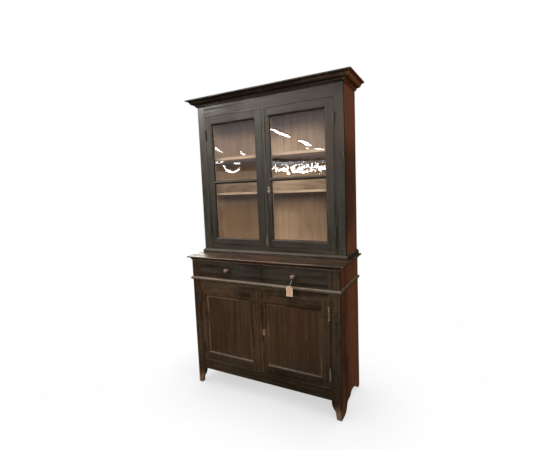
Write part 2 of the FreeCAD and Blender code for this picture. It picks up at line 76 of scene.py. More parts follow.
class Tree:
    """Short calls for building one material's nodes."""

    def __init__(self, name, owner=None):
        self.material = owner or bpy.data.materials.new(name)
        self.material.use_nodes = True
        self.nodes = self.material.node_tree.nodes
        self.links = self.material.node_tree.links
        self.nodes.clear()

    def add(self, kind, inputs=None, **settings):
        node = self.nodes.new("ShaderNode" + kind)
        for key, value in settings.items():
            setattr(node, key, value)
        for key, value in (inputs or {}).items():
            self.plug(node.inputs[key], value)
        return node

    def plug(self, socket, value):
        if isinstance(value, bpy.types.NodeSocket):
            self.links.new(value, socket)
        elif isinstance(value, tuple) and len(value) == 3 and socket.type == "RGBA":
            socket.default_value = (*value, 1.0)
        else:
            socket.default_value = value

    def math(self, operation, first, second=0.0, clamp=False):
        node = self.add("Math", {0: first, 1: second}, operation=operation, use_clamp=clamp)
        return node.outputs[0]

    def total(self, *terms):
        """Sum of (value, weight) pairs."""
        result = 0.0
        for value, weight in terms:
            part = self.math("MULTIPLY", value, weight)
            result = self.math("ADD", result, part)
        return result

    def mix(self, factor, first, second, blend="MIX"):
        node = self.add("Mix", data_type="RGBA", blend_type=blend)
        self.plug(node.inputs[0], factor)
        self.plug(node.inputs[6], first)
        self.plug(node.inputs[7], second)
        return node.outputs[2]

    def between(self, factor, low, high):
        node = self.add("Mix", data_type="FLOAT")
        self.plug(node.inputs[0], factor)
        self.plug(node.inputs[2], low)
        self.plug(node.inputs[3], high)
        return node.outputs[0]

    def steps(self, value, low, high):
        """0 below low, 1 above high, smooth between."""
        inputs = {"Value": value, "From Min": low, "From Max": high}
        return self.add("MapRange", inputs, interpolation_type="SMOOTHSTEP").outputs[0]

    def place(self, scale=(1, 1, 1), offset=(0, 0, 0)):
        """Object coordinates in metres, stretched by scale."""
        coordinates = self.add("TexCoord").outputs["Object"]
        return self.add("Mapping", {"Vector": coordinates, "Location": offset, "Scale": scale}).outputs[0]

    def axis(self, letter):
        """One object coordinate in metres."""
        coordinates = self.add("TexCoord").outputs["Object"]
        return self.add("SeparateXYZ", {0: coordinates}).outputs["XYZ".index(letter)]

    def noise(self, vector, scale, detail=4.0, roughness=0.55, distortion=0.0):
        inputs = {"Vector": vector, "Scale": scale, "Detail": detail, "Roughness": roughness,
                  "Distortion": distortion}
        return self.add("TexNoise", inputs).outputs["Fac"]

    def grain(self, axis, along, across, seed, detail=4.0, distortion=0.0):
        """Noise drawn out along the grain; along and across are counts per metre."""
        scale = [across] * 3
        scale["XYZ".index(axis)] = along
        return self.noise(self.place(tuple(scale), (seed, seed, seed)), 1.0, detail, 0.6, distortion)

    def board(self, axis, width):
        """A random number for each piece, and for each upright board of this width side by side."""
        place = self.math("FLOOR", self.math("DIVIDE", self.axis("X"), width)) if axis == "Z" else 0.0
        island = self.add("NewGeometry").outputs["Random Per Island"]
        number = self.total((place, 1.0), (island, 7.3))
        return self.add("TexWhiteNoise", {"W": number}, noise_dimensions="1D").outputs["Value"]

    def occlusion(self, reach, inside):
        """How shut in a point is by its own piece: outside for hollows, inside for arrises."""
        node = self.add("AmbientOcclusion", {"Distance": reach}, samples=8, inside=inside, only_local=True)
        return self.math("SUBTRACT", 1.0, node.outputs["AO"], clamp=True)

    def arris(self, ragged, weight):
        """High along the sharp edges of a piece, raggedly."""
        return self.total((self.occlusion(0.006, True), 1.0), (ragged, weight))

    def facing_up(self):
        return self.add("SeparateXYZ", {0: self.add("NewGeometry").outputs["Normal"]}).outputs[2]

    def cover(self, color, mask, amount, over):
        """One colour laid over another, as much as amount where the mask is 1."""
        return self.mix(self.math("MULTIPLY", mask, amount), color, over)

    def grimed_and_shaded(self, color, grime_and_shade):
        """Darker in the hollows of a piece: grime, and painted shade."""
        return self.mix(self.steps(self.occlusion(0.02, False), 0.15, 0.6), color, grime_and_shade)

    def patch(self, x, z, half_width, half_height, ragged):
        """A ragged oval in the front view, 1 inside."""
        across = self.math("DIVIDE", self.math("SUBTRACT", self.axis("X"), x), half_width)
        upward = self.math("DIVIDE", self.math("SUBTRACT", self.axis("Z"), z), half_height)
        reach = self.total((self.math("MULTIPLY", across, across), 1.0),
                           (self.math("MULTIPLY", upward, upward), 1.0), (ragged, 2.0))
        return self.steps(reach, 2.3, 1.5)

    def bump(self, height, strength, distance):
        inputs = {"Height": height, "Strength": strength, "Distance": distance}
        return self.add("Bump", inputs).outputs[0]

    def surface(self, color, rough, normal, metal=0.0, specular=0.5, sheen=0.0):
        inputs = {"Base Color": color, "Roughness": rough, "Normal": normal, "Metallic": metal,
                  "Specular IOR Level": specular, "Sheen Weight": sheen}
        shader = self.add("BsdfPrincipled", inputs)
        return self.finish(shader.outputs[0])

    def finish(self, shader):
        output = self.add("OutputMaterial")
        self.links.new(shader, output.inputs[0])
        return self.material


# ---------------------------------------------------------------- materials

def scaled(color, factor):
    return tuple(factor * part for part in color)


def painted_wood(name, axis, dark, light, brown, bare, wear, seed, rough=0.42, thin=0.5, even=0.0,
                 foot_wear=False, shaded_low_right=False, rubs=()):
    """Old black paint, clouded and streaked: thin over brown wood, and rubbed bare on the arrises; grime and
    painted shade in its hollows, painted shade towards the lower right where asked, and a painted highlight
    on faces that look up.
    """
    t = Tree(name)
    pores = t.grain(axis, 10, 420, seed)
    streak = t.grain(axis, 1.8, 60, seed + 2, distortion=0.5)
    band = t.grain(axis, 0.8, 12, seed + 4)
    mottle = t.noise(t.place(offset=(seed, 0, 0)), 30.0, 6, 0.68)
    cloud = t.noise(t.place(offset=(0, seed, 0)), 4.5, 5, 0.6)
    drift = t.noise(t.place(offset=(0, 0, seed)), 2.6, 3, 0.5)
    tone = t.total((streak, 0.45), (band, 0.2), (mottle, 0.3), (cloud, 0.3))
    paint = t.mix(t.steps(tone, 0.44 - even, 0.80 + even), dark, light)
    rubbed_thin = t.total((drift, 0.5), (streak, 0.3), (mottle, 0.35))
    threshold = 0.72 - 0.25 * thin - even
    showing = t.steps(rubbed_thin, threshold, threshold + 0.14 + 2 * even)
    paint = t.cover(paint, showing, 0.8, brown)
    paint = t.cover(paint, t.steps(pores, 0.52, 0.72), 0.55, dark)
    hue = t.steps(t.grain(axis, 1.6, 7, seed + 10, 3.0), 0.4, 0.6)
    paint = t.mix(1.0, paint, t.mix(hue, (0.93, 1.03, 0.96), (1.07, 0.98, 1.0)), "MULTIPLY")
    # Painted shade: darker towards the lower right of the front.
    if shaded_low_right:
        low_right_shade = t.total((t.axis("X"), 0.7), (t.axis("Z"), -1.0), (cloud, 0.4))
        paint = t.cover(paint, t.steps(low_right_shade, -0.35, 0.45), 0.65, dark)
    # Grime and painted shade in the hollows.
    paint = t.grimed_and_shaded(paint, scaled(dark, 0.35))
    chips = t.grain(axis, 22, 70, seed + 6, 5.0)
    rubbed = t.steps(t.arris(chips, 0.5), 0.78 - 0.3 * wear, 1.0 - 0.3 * wear)
    rubbed = t.math("MULTIPLY", rubbed, t.between(t.steps(drift, 0.48, 0.62), 0.08, 1.0))
    knocks = t.grain(axis, 30, 110, seed + 8, 2.0)
    knocked = t.math("MULTIPLY", t.steps(knocks, 0.70, 0.75), t.steps(cloud, 0.42, 0.6))
    worn = t.math("MAXIMUM", rubbed, t.math("MULTIPLY", knocked, 0.6))
    # Painted highlight: faces that look up turn paler, carried in the worn mask as bare wood.
    upward_highlight = t.steps(t.total((t.facing_up(), 1.0), (streak, 0.4)), 0.5, 1.0)
    worn = t.math("MAXIMUM", worn, t.math("MULTIPLY", upward_highlight, 0.45))
    if foot_wear:
        ragged = t.total((t.axis("Z"), -1.0), (t.grain(axis, 9, 60, seed + 1), 0.14))
        worn = t.math("MAXIMUM", worn, t.steps(ragged, -0.04, 0.03))
    for rub in rubs:
        worn = t.math("MAXIMUM", worn, t.patch(*rub, t.total((mottle, 0.6), (streak, 0.6))))
    color = t.mix(worn, paint, t.mix(t.steps(streak, 0.35, 0.6), scaled(bare, 0.45), bare))
    shine = t.between(t.steps(t.total((cloud, 0.4), (streak, 0.6)), 0.38, 0.62), rough - 0.12, rough + 0.18)
    shine = t.between(worn, shine, 0.6)
    relief = t.total((pores, 0.35), (streak, 0.6), (mottle, 0.5), (cloud, 0.4), (worn, -0.5))
    return t.surface(color, shine, t.bump(relief, 0.55, 0.0012), specular=0.4)


def grown_wood(t, axis, seed, board_width, ring):
    """Figure of a plain-sawn board: rings of a trunk lying a little askew of its face."""
    across = t.axis("Z" if axis == "X" else "X")
    along = t.axis(axis)
    board = t.board(axis, board_width)
    wander = t.grain(axis, 1.5, 6.0, seed + 1, 3.0)
    aside = t.math("PINGPONG", t.total((across, 1.0), (board, 0.4), (10.0, 1.0)), board_width)
    depth = t.total((along, 0.2), (board, 0.3), (wander, 0.22), (seed, 0.013))
    depth = t.math("PINGPONG", t.math("ADD", depth, 10.0), 0.11)
    reach = t.math("SQRT", t.total((t.math("MULTIPLY", aside, aside), 1.0),
                                   (t.math("MULTIPLY", depth, depth), 1.0)))
    phase = t.total((reach, 1.0 / ring), (wander, 1.4))
    return t.steps(t.math("PINGPONG", phase, 1.0), 0.0, 0.4)


def bare_wood(name, axis, deep, light, stain, seed, rough=0.6, figure=0.2, board_width=0.14, ring=0.017,
              spots=0.0):
    """Unpainted boards of the inside: figured and stained in patches, with painted shade towards the left.
    """
    t = Tree(name)
    rings = grown_wood(t, axis, seed, board_width, ring)
    pores = t.grain(axis, 12, 600, seed)
    streak = t.grain(axis, 1.2, 34, seed + 2)
    cloud = t.noise(t.place(offset=(seed, 0, 0)), 4.0, 5, 0.6)
    board = t.board(axis, board_width)
    tone = t.total((rings, figure), (streak, 0.25), (cloud, 0.5), (board, 0.12))
    color = t.mix(t.steps(tone, 0.3, 0.85), deep, light)
    color = t.cover(color, t.steps(pores, 0.55, 0.75), 0.3, deep)
    # Painted shade: darker towards the left.
    left_shade = t.steps(t.total((t.axis("X"), 1.0), (cloud, 0.4)), 0.25, -0.3)
    color = t.cover(color, left_shade, 0.4, deep)
    blot = t.steps(t.grain(axis, 2.6, 14, seed + 5, 3.0), 0.62 - spots, 0.72 - spots)
    color = t.cover(color, blot, 0.75, stain)
    # Grime and painted shade in the hollows.
    color = t.grimed_and_shaded(color, scaled(deep, 0.4))
    # Lighter along the arrises: worn edges, and a painted highlight.
    color = t.cover(color, t.steps(t.arris(streak, 0.4), 0.5, 0.8), 0.7, scaled(light, 1.2))
    relief = t.total((pores, 0.5), (rings, 0.25), (streak, 0.5))
    return t.surface(color, rough, t.bump(relief, 0.35, 0.0009), specular=0.3)


def side_wood(name, axis, seed, low, high, inside):
    """Red-brown stained sides, streaked, paler towards the foot and the back; painted light towards the top,
    a painted shade band at mid height and a painted highlight on faces that look up; bare wood on the inner
    face.
    """
    t = Tree(name)
    pores = t.grain(axis, 10, 520, seed)
    streak = t.grain(axis, 1.1, 46, seed + 2, 5.0, distortion=0.3)
    fine = t.grain(axis, 3.0, 150, seed + 3)
    cloud = t.noise(t.place(offset=(seed, 0, 0)), 3.4, 5, 0.6)
    # Painted light: paler towards the top; the tone is also paler towards the foot and the back.
    top = t.steps(t.axis("Z"), 1.6, 2.15)
    foot = t.steps(t.axis("Z"), 1.35, 1.05)
    rear = t.steps(t.axis("Y"), -0.15, 0.15)
    tone = t.total((streak, 0.7), (fine, 0.2), (cloud, 0.3), (top, 0.14), (foot, 0.07), (rear, 0.1))
    color = t.mix(t.steps(tone, 0.52, 0.80), low, high)
    color = t.cover(color, t.steps(pores, 0.52, 0.72), 0.5, low)
    # Painted shade: a darker band at mid height, deepest towards the front.
    height = t.total((t.axis("Z"), 1.0), (streak, 0.25), (1.0, -0.125))
    shade_band = t.math("MULTIPLY", t.steps(height, 1.84, 1.72), t.steps(height, 1.12, 1.42))
    shade_band = t.math("MULTIPLY", shade_band, t.between(rear, 0.75, 0.35))
    color = t.mix(shade_band, color, scaled(high, 0.16))
    # Grime and painted shade in the hollows.
    color = t.grimed_and_shaded(color, scaled(low, 0.3))
    # Painted highlight: faces that look up are paler.
    lit_from_above = (0.085, 0.062, 0.047)
    color = t.cover(color, t.steps(t.facing_up(), 0.5, 0.95), 0.7, lit_from_above)
    color = t.cover(color, t.steps(t.arris(fine, 0.5), 0.5, 0.8), 0.6, scaled(high, 1.5))
    bare = t.mix(t.steps(t.total((streak, 0.5), (cloud, 0.5)), 0.35, 0.65), inside[0], inside[1])
    outer_face = t.steps(t.math("ABSOLUTE", t.axis("X")), 0.574, 0.577)
    color = t.mix(outer_face, bare, color)
    relief = t.total((pores, 0.5), (streak, 0.5), (fine, 0.4))
    return t.surface(color, t.between(cloud, 0.38, 0.62), t.bump(relief, 0.45, 0.001), specular=0.28)


def turned_wood(name, seed, deep, light):
    """Handled knobs: polished brown; the crown paler, worn by fingers and with a painted highlight, and
    grime and painted shade in the hollows.
    """
    t = Tree(name)
    rings = t.grain("Y", 14, 60, seed)
    cloud = t.noise(t.place(offset=(seed, 0, 0)), 40.0, 4, 0.6)
    color = t.mix(t.steps(t.total((rings, 0.5), (cloud, 0.5)), 0.38, 0.62), deep, light)
    # Paler crown: worn by fingers, and a painted highlight.
    crown = t.steps(t.total((t.axis("Y"), -1.0), (cloud, 0.012)), 0.238, 0.246)
    color = t.cover(color, crown, 0.5, scaled(light, 2.0))
    # Grime and painted shade in the knob's hollows.
    color = t.mix(t.steps(t.occlusion(0.006, False), 0.2, 0.6), color, scaled(deep, 0.3))
    return t.surface(color, t.between(cloud, 0.24, 0.42), t.bump(cloud, 0.3, 0.0004))


def counter_wood():
    """Worn top: brown wax, redder and paler rubbed patches, dark streaks along the boards; painted shade and
    grime under the rim, and worn arrises with a painted highlight.
    """
    t = Tree("counter_wood")
    pores = t.grain("X", 9, 500, 0.0)
    streak = t.grain("X", 1.3, 40, 3.0, distortion=0.5)
    fine = t.grain("X", 5.0, 150, 5.0)
    cloud = t.noise(t.place(), 3.2, 5, 0.62)
    red = t.steps(t.noise(t.place(offset=(0.4, 0, 0)), 2.2, 3, 0.5), 0.48, 0.62)
    color = t.mix(t.steps(t.total((streak, 0.7), (fine, 0.3)), 0.44, 0.56), (0.009, 0.006, 0.004),
                  (0.085, 0.052, 0.030))
    color = t.cover(color, red, 0.5, (0.085, 0.026, 0.016))
    scraped = t.steps(t.grain("X", 2.0, 75, 8.0, 3.0), 0.60, 0.68)
    color = t.cover(color, scraped, 0.7, (0.21, 0.15, 0.10))
    color = t.cover(color, t.steps(cloud, 0.52, 0.72), 0.6, (0.14, 0.110, 0.085))
    color = t.cover(color, t.steps(pores, 0.52, 0.7), 0.6, (0.015, 0.009, 0.006))
    # Painted shade, with grime: darker under the rim.
    under_rim = t.steps(t.axis("Z"), 1.0185, 1.0145)
    color = t.cover(color, under_rim, 0.7, (0.016, 0.007, 0.005))
    # Lighter along the arrises: worn edges, and a painted highlight.
    color = t.mix(t.steps(t.arris(streak, 0.6), 0.5, 0.75), color, (0.26, 0.185, 0.125))
    shine = t.between(t.steps(t.total((streak, 0.6), (fine, 0.4)), 0.42, 0.58), 0.62, 0.24)
    relief = t.total((pores, 0.4), (streak, 0.6), (fine, 0.4))
    return t.surface(color, shine, t.bump(relief, 0.6, 0.0011), specular=0.36)


def metal(name, color, tarnish, rough, painted=None):
    """Old worn metal, tarnished in patches and brighter at its edges; some of it painted over."""
    t = Tree(name)
    cloud = t.noise(t.place(), 60.0, 5, 0.65)
    pits = t.noise(t.place(), 500.0, 3, 0.6)
    tint = t.mix(t.steps(cloud, 0.42, 0.62), color, tarnish)
    tint = t.mix(t.steps(t.occlusion(0.003, False), 0.1, 0.5), tint, scaled(tarnish, 0.3))
    tint = t.mix(t.steps(t.occlusion(0.0012, True), 0.2, 0.5), tint, scaled(color, 1.4))
    metallic = 0.8
    if painted:
        below = t.steps(t.axis("Z"), 0.95, 0.85)
        rightward = t.steps(t.axis("X"), 0.0, 0.1)
        cleaned = t.math("MULTIPLY", below, rightward)
        chipped = t.steps(t.total((cloud, 0.6), (t.occlusion(0.0012, True), 0.5)), 0.52, 0.66)
        showing = t.math("MAXIMUM", cleaned, t.math("MULTIPLY", chipped, 0.6))
        tint = t.mix(showing, painted, tint)
        metallic = t.math("MULTIPLY", showing, 0.8)
    shine = t.between(cloud, rough - 0.1, rough + 0.2)
    return t.surface(tint, shine, t.bump(t.total((cloud, 1.0), (pits, 0.6)), 0.5, 0.0004), metal=metallic)


def old_glass():
    """Thin clear sheet: each ray is reflected once, where it enters, for both faces together."""
    t = Tree("old_glass")
    seeds = t.noise(t.place(), 160.0, 2, 0.5)
    normal = t.bump(seeds, 0.01, 0.0003)
    gloss = t.add("BsdfGlossy", {"Color": (1.0, 1.0, 1.0), "Roughness": 0.015, "Normal": normal})
    clear = t.add("BsdfTransparent", {"Color": (0.99, 0.993, 0.985)})
    one_face = t.add("Fresnel", {"IOR": 1.5, "Normal": normal}).outputs[0]
    entering = t.math("SUBTRACT", 1.0, t.add("NewGeometry").outputs["Backfacing"])
    both_faces = t.math("MULTIPLY", t.math("MULTIPLY", one_face, 1.9), entering, clamp=True)
    mixed = t.add("MixShader", {0: both_faces, 1: clear.outputs[0], 2: gloss.outputs[0]})
    return t.finish(mixed.outputs[0])


def card():
    """Buff card, its rim bleached paler."""
    t = Tree("tag_card")
    low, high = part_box("tag_card")
    fibre = t.noise(t.place(), 700.0, 5, 0.7)
    cloud = t.noise(t.place(), 60.0, 3, 0.5)
    color = t.mix(cloud, (0.38, 0.225, 0.15), (0.48, 0.325, 0.235))
    color = t.mix(t.steps(fibre, 0.55, 0.7), color, (0.32, 0.21, 0.145))
    middle = (low + high) / 2
    half = (high - low) / 2
    off_x = t.math("ABSOLUTE", t.math("SUBTRACT", t.axis("X"), middle.x))
    off_z = t.math("ABSOLUTE", t.math("SUBTRACT", t.axis("Z"), middle.z))
    rim = t.math("MAXIMUM", t.math("SUBTRACT", off_x, half.x), t.math("SUBTRACT", off_z, half.z))
    color = t.mix(t.steps(t.total((rim, 1.0), (cloud, 0.002)), -0.003, -0.001), color, (0.66, 0.57, 0.46))
    return t.surface(color, 0.85, t.bump(fibre, 0.3, 0.0002))


def string():
    t = Tree("tag_string")
    fibre = t.noise(t.place(), 900.0, 3, 0.6)
    color = t.mix(fibre, (0.42, 0.38, 0.30), (0.85, 0.82, 0.74))
    return t.surface(color, 0.9, t.bump(fibre, 0.5, 0.0003), sheen=0.3)


# ---------------------------------------------------------------- geometry

def stand_in(node, bm, material):
    """Piece with this shape that takes a CAD node's place on its body."""
    mesh = bpy.data.meshes.new(node)
    bm.to_mesh(mesh)
    bm.free()
    mesh.shade_smooth()
    mesh.set_sharp_from_angle(angle=radians(40))
    mesh.materials.append(material)
    piece = bpy.data.objects.new(node + "_finished", mesh)
    scene.collection.objects.link(piece)
    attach(piece, bodies[node])
    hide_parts(node)
    return piece


def join_butted(bm):
    """Remove the hidden faces where two boards of one piece butt together or meet in a mitre.

    Boards that only touch along an edge are parted there, so that neither bends the other's shading.
    """
    hidden = [face for face in bm.faces if all(len(edge.link_faces) > 2 for edge in face.edges)]
    bmesh.ops.delete(bm, geom=hidden, context="FACES")
    touching = [edge for edge in bm.edges if len(edge.link_faces) > 2]
    bmesh.ops.split_edges(bm, edges=touching)


def aged(node, material, rounding=0.0013, warp=0.0004, spacing=0.08):
    """A CAD node's shape with rubbed, rounded arrises and faces that are no longer quite flat."""
    bm = bmesh.new()
    bm.from_mesh(nodes[node].data)
    bmesh.ops.remove_doubles(bm, verts=bm.verts, dist=1e-5)
    bmesh.ops.dissolve_limit(bm, angle_limit=radians(0.5), verts=bm.verts, edges=bm.edges)
    join_butted(bm)
    if rounding:
        sharp = [e for e in bm.edges if len(e.link_faces) == 2 and e.calc_face_angle() > radians(32)]
        bmesh.ops.bevel(bm, geom=sharp, offset=rounding, segments=2, profile=0.6, affect="EDGES",
                        clamp_overlap=True)
    for axis in range(3):
        low = min(v.co[axis] for v in bm.verts)
        high = max(v.co[axis] for v in bm.verts)
        direction = Vector([float(axis == i) for i in range(3)])
        count = int((high - low) / spacing) + 1
        for cut in range(1, count):
            place = direction * (low + cut * (high - low) / count)
            bmesh.ops.bisect_plane(bm, geom=bm.verts[:] + bm.edges[:] + bm.faces[:], plane_co=place,
                                   plane_no=direction, dist=1e-6)
    bmesh.ops.triangulate(bm, faces=[f for f in bm.faces if len(f.verts) > 4])
    bm.normal_update()
    for v in bm.verts:
        v.co += v.normal * warp * noise.noise(v.co * 4.0)
    piece = stand_in(node, bm, material)
    piece.modifiers.new("flat faces", "WEIGHTED_NORMAL").keep_sharp = True
    return piece


def ripple(x, z):
    """How far hand-made glass strays from flat: slow swells and a finer drawn ripple."""
    swell = noise.noise(Vector((3.0 * x, 0.3, 4.0 * z)))
    drawn = noise.noise(Vector((26.0 * x, 4.1, 40.0 * z)))
    return 0.00025 * swell + 0.000014 * drawn


def rippled_pane(bm, low, high, foot, head, step=0.007):
    """Closed thin sheet whose two faces ripple together."""
    columns = int((high.x - low.x) / step)
    rows = int((head - foot) / step)
    xs = [low.x + (high.x - low.x) * column / columns for column in range(columns + 1)]
    zs = [foot + (head - foot) * row / rows for row in range(rows + 1)]
    front, rear = [[[bm.verts.new((x, y + ripple(x, z), z)) for x in xs] for z in zs]
                   for y in (low.y, high.y)]
    for row in range(rows):
        for column in range(columns):
            corners = [(row, column), (row, column + 1), (row + 1, column + 1), (row + 1, column)]
            bm.faces.new([front[r][c] for r, c in corners])
            bm.faces.new([rear[r][c] for r, c in reversed(corners)])
    rim = [(0, c) for c in range(columns)] + [(r, columns) for r in range(rows)]
    rim += [(rows, c) for c in range(columns, 0, -1)] + [(r, 0) for r in range(rows, 0, -1)]
    for here, there in zip(rim, rim[1:] + rim[:1]):
        bm.faces.new([front[there[0]][there[1]], front[here[0]][here[1]],
                      rear[here[0]][here[1]], rear[there[0]][there[1]]])


def rippled_glass(node, material):
    """A door's two panes, below and above its glazing bar."""
    low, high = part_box(node)
    heights = sorted({round(v.co.z, 4) for v in nodes[node].data.vertices})
    bm = bmesh.new()
    for foot, head in (heights[:2], heights[2:]):
        rippled_pane(bm, low, high, foot, head)
    return stand_in(node, bm, material)


# ---------------------------------------------------------------- stage, camera and lights

def floor():
    """Pale floor that glows evenly for the camera, with a painted soft shadow where the cabinet stands; it
    lights the cabinet little.
    """
    size = 30.0
    mesh = bpy.data.meshes.new("floor")
    corners = [(-size, -size, 0), (size, -size, 0), (size, size, 0), (-size, size, 0)]
    mesh.from_pydata(corners, [], [(0, 1, 2, 3)])
    t = Tree("floor")
    # Painted shadow: darker where the cabinet stands.
    shade = t.add("AmbientOcclusion", {"Distance": 0.5}, samples=16).outputs["AO"]
    grain = t.between(t.noise(t.place(), 2.0, 3), 0.985, 1.0)
    tone = t.math("MULTIPLY", t.between(shade, 0.55, 1.0), grain)
    seen = t.add("Emission", {"Color": t.mix(tone, (0.0, 0.0, 0.0), (1.0, 1.0, 1.0))})
    felt = t.add("BsdfDiffuse", {"Color": (0.10, 0.08, 0.065)})
    camera_ray = t.add("LightPath").outputs["Is Camera Ray"]
    mixed = t.add("MixShader", {0: camera_ray, 1: felt.outputs[0], 2: seen.outputs[0]})
    mesh.materials.append(t.finish(mixed.outputs[0]))
    plane = bpy.data.objects.new("floor", mesh)
    scene.collection.objects.link(plane)


def camera():
    """A standing viewer to the right of the cabinet, looking back at it, the camera slightly rolled."""
    yaw, pitch, roll = radians(27.9), radians(-5.7), radians(-2.2)
    ahead = Vector((-sin(yaw) * cos(pitch), cos(yaw) * cos(pitch), sin(pitch)))
    right = Vector((cos(yaw), sin(yaw), 0))
    up = right.cross(ahead)
    across = cos(roll) * right + sin(roll) * up
    upward = -sin(roll) * right + cos(roll) * up
    data = bpy.data.cameras.new("camera")
    data.sensor_width = 36.0
    data.lens = 22.33
    data.clip_end = 200.0
    viewer = bpy.data.objects.new("camera", data)
    turn = Matrix((across, upward, -ahead)).transposed().to_4x4()
    viewer.matrix_world = Matrix.Translation(eye) @ turn
    scene.collection.objects.link(viewer)
    scene.camera = viewer


def all_but(objects):
    """Receivers for a light that must not be mirrored in these objects."""
    receivers = bpy.data.collections.new("all_but_glass")
    for thing in objects:
        receivers.objects.link(thing)
    for member in receivers.collection_objects:
        member.light_linking.link_state = "EXCLUDE"
    return receivers


def area_light(name, place, target, size, power, receivers, color=(1.0, 0.93, 0.85)):
    """Soft warm light; it isn't mirrored in the panes, where a lamp this size would hide the inside."""
    data = bpy.data.lights.new(name, "AREA")
    data.shape = "RECTANGLE"
    data.size, data.size_y = size
    data.energy = power
    data.color = color
    light = bpy.data.objects.new(name, data)
    light.location = place
    light.rotation_euler = (Vector(target) - Vector(place)).to_track_quat("-Z", "Y").to_euler()
    light.light_linking.receiver_collection = receivers
    scene.collection.objects.link(light)


def world():
    """White backdrop for the camera; for the light, a hall with a bright ceiling to the front left."""
    room = bpy.data.worlds.new("world")
    scene.world = room
    t = Tree("world", room)
    direction = t.add("TexCoord").outputs["Generated"]
    x, y, z = t.add("SeparateXYZ", {0: direction}).outputs
    leftward = t.steps(x, -0.1, -0.75)
    forward = t.steps(y, 0.1, -0.5)
    height = t.steps(z, -0.35, 0.40)
    beams = t.noise(t.add("Mapping", {"Vector": direction, "Scale": (1.5, 4.0, 13.0)}).outputs[0], 1.0, 3)
    ceiling = t.math("MULTIPLY", t.math("MULTIPLY", leftward, forward), height)
    ceiling = t.math("MULTIPLY", ceiling, t.between(t.steps(beams, 0.4, 0.6), 0.75, 1.2))
    behind = t.math("MULTIPLY", t.steps(y, 0.3, 0.6), t.steps(x, -0.42, -0.62))
    behind = t.math("MULTIPLY", behind, t.steps(t.math("ABSOLUTE", z), 0.5, 0.3))
    strength = t.total((ceiling, 0.8), (t.math("MULTIPLY", height, forward), 0.15), (height, 0.06),
                       (behind, 5.6), (1.0, 0.025))
    felt = t.add("Background", {"Color": (1.0, 0.95, 0.89), "Strength": strength})
    seen = t.add("Background", {"Color": (1.0, 1.0, 1.0), "Strength": 1.0})
    camera_ray = t.add("LightPath").outputs["Is Camera Ray"]
    mixed = t.add("MixShader", {0: camera_ray, 1: felt.outputs[0], 2: seen.outputs[0]})
    output = t.add("OutputWorld")
    t.links.new(mixed.outputs[0], output.inputs[0])


def behind_viewer(x, z, depth):
    """The place in the room, this far in front of the cabinet, that shows at (x, z) in the glass."""
    mirrored_eye = Vector((eye.x, 2 * glass_face - eye.y, eye.z))
    sight = Vector((x, glass_face, z)) - mirrored_eye
    return mirrored_eye + sight * ((-depth - mirrored_eye.y) / sight.y)


def lamp(strength, ragged, fine, color=(1.0, 1.0, 1.0)):
    """Glowing surface whose edges, and middle if ragged, break up into specks."""
    t = Tree("lamp")
    core = t.add("Attribute", attribute_name="core").outputs["Fac"]
    specks = t.noise(t.place(), fine, 3, 0.6)
    edge = 0.55 * ragged + 0.45
    glow = t.steps(t.total((core, 1.0), (specks, ragged)), edge, edge + 0.1)
    glow = t.math("MULTIPLY", glow, strength)
    return t.finish(t.add("Emission", {"Color": color, "Strength": glow}).outputs[0])


def glow(strength, color):
    """Even glow that fades out towards the strip's edges."""
    t = Tree("glow")
    core = t.add("Attribute", attribute_name="core").outputs["Fac"]
    strength = t.math("MULTIPLY", t.steps(core, 0.0, 0.5), strength)
    return t.finish(t.add("Emission", {"Color": color, "Strength": strength}).outputs[0])


def shown_in_glass(name, points, material, depth=6.0):
    """A bright strip in the room, seen only as a reflection; points are (x, z, width) on the glass."""
    mesh = bpy.data.meshes.new(name)
    corners = []
    core = []
    for index, (x, z, width) in enumerate(points):
        before = points[max(index - 1, 0)]
        after = points[min(index + 1, len(points) - 1)]
        run = Vector((after[0] - before[0], after[1] - before[1])).normalized()
        reach = width / 2
        for side in (-1, 0, 1):
            corners.append(behind_viewer(x - side * run.y * reach, z + side * run.x * reach, depth))
            core.append(1.0 - abs(side))
    faces = []
    for row in range(0, len(corners) - 3, 3):
        for side in (row, row + 1):
            faces.append((side, side + 1, side + 4, side + 3))
    mesh.from_pydata(corners, [], faces)
    mesh.attributes.new("core", "FLOAT", "POINT").data.foreach_set("value", core)
    mesh.materials.append(material)
    strip = bpy.data.objects.new(name, mesh)
    scene.collection.objects.link(strip)
    strip.visible_camera = False
    strip.visible_diffuse = False
    strip.visible_transmission = False
    strip.visible_shadow = False


